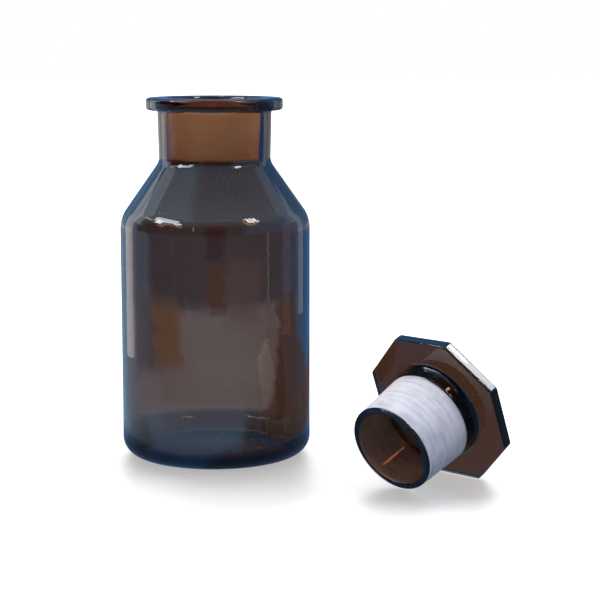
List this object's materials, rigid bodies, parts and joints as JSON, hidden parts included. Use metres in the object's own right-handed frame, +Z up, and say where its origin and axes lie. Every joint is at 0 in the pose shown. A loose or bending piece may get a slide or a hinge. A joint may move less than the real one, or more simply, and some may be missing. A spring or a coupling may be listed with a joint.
{
  "type": "reagent bottle",
  "caption": "Wide-neck amber glass reagent bottle with a conical shoulder, ground tapered neck socket and flat flanged mouth, its hollow octagonal-headed ground stopper lying beside it.",
  "frame": {"origin": "centre of the bottle's foot, in the plane that it stands on", "axes": "+Z up the bottle's axis towards its mouth, +X to the right and +Y away, seen from the side where the stopper's open end faces the viewer"},
  "size_m": [0.1363, 0.1101, 0.1327],
  "materials": {
    "bottle_glass": "glossy amber soda-lime glass, ground matt inside the neck",
    "stopper_glass": "glossy amber soda-lime glass, ground matt on the plug"
  },
  "bodies": {
    "bottle": {"bottle": "bottle_glass"},
    "stopper": {"stopper": "stopper_glass"}
  },
  "joints": [
    {"name": "stopper_lift", "type": "slide", "parent": "bottle", "child": "stopper", "axis": [0, 0, 1], "range_m": [0, 0.135]}
  ]
}
